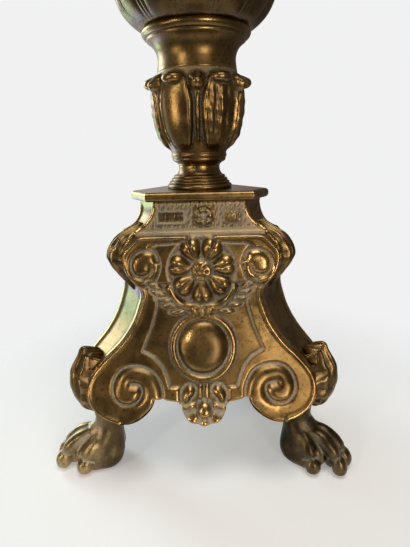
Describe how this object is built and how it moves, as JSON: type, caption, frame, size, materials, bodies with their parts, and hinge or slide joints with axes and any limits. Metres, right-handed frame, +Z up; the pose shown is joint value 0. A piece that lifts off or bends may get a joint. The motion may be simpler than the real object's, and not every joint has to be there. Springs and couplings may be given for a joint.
{
  "type": "candle holder",
  "caption": "Tall cast brass altar candle holder: scrolled triangular base on lion's-paw feet, acanthus vase, gadrooned bulb, baluster stem, loose drip pan and pricket.",
  "frame": {"origin": "on the stem's axis at floor level, under the middle of the three paws", "axes": "+Z up along the stem, one face of the base towards -Y, the rear paw on +Y"},
  "size_m": [0.2008, 0.1848, 0.628],
  "materials": {
    "brass": "aged, unlacquered cast brass with dark patina and rubbed high spots",
    "iron": "dark forged iron"
  },
  "bodies": {
    "stand": {"base_casting": "brass", "paw_foot_front_right": "brass", "paw_foot_rear": "brass", "paw_foot_front_left": "brass", "cornice_slab": "brass", "socle": "brass", "acanthus_vase": "brass", "neck_ring": "brass", "gadrooned_bulb": "brass", "bulb_collar": "brass", "baluster_stem": "brass", "knop_ring": "brass", "upper_knop": "brass", "candle_capital": "brass", "foot_screws": "iron", "pricket_spike": "iron", "tie_rod": "iron", "tie_rod_washer": "iron", "tie_rod_nut": "iron"},
    "pan": {"drip_pan": "brass"}
  },
  "joints": [
    {"name": "pan_lift", "type": "slide", "parent": "stand", "child": "pan", "axis": [0, 0, 1], "range_m": [0, 0.09]}
  ]
}
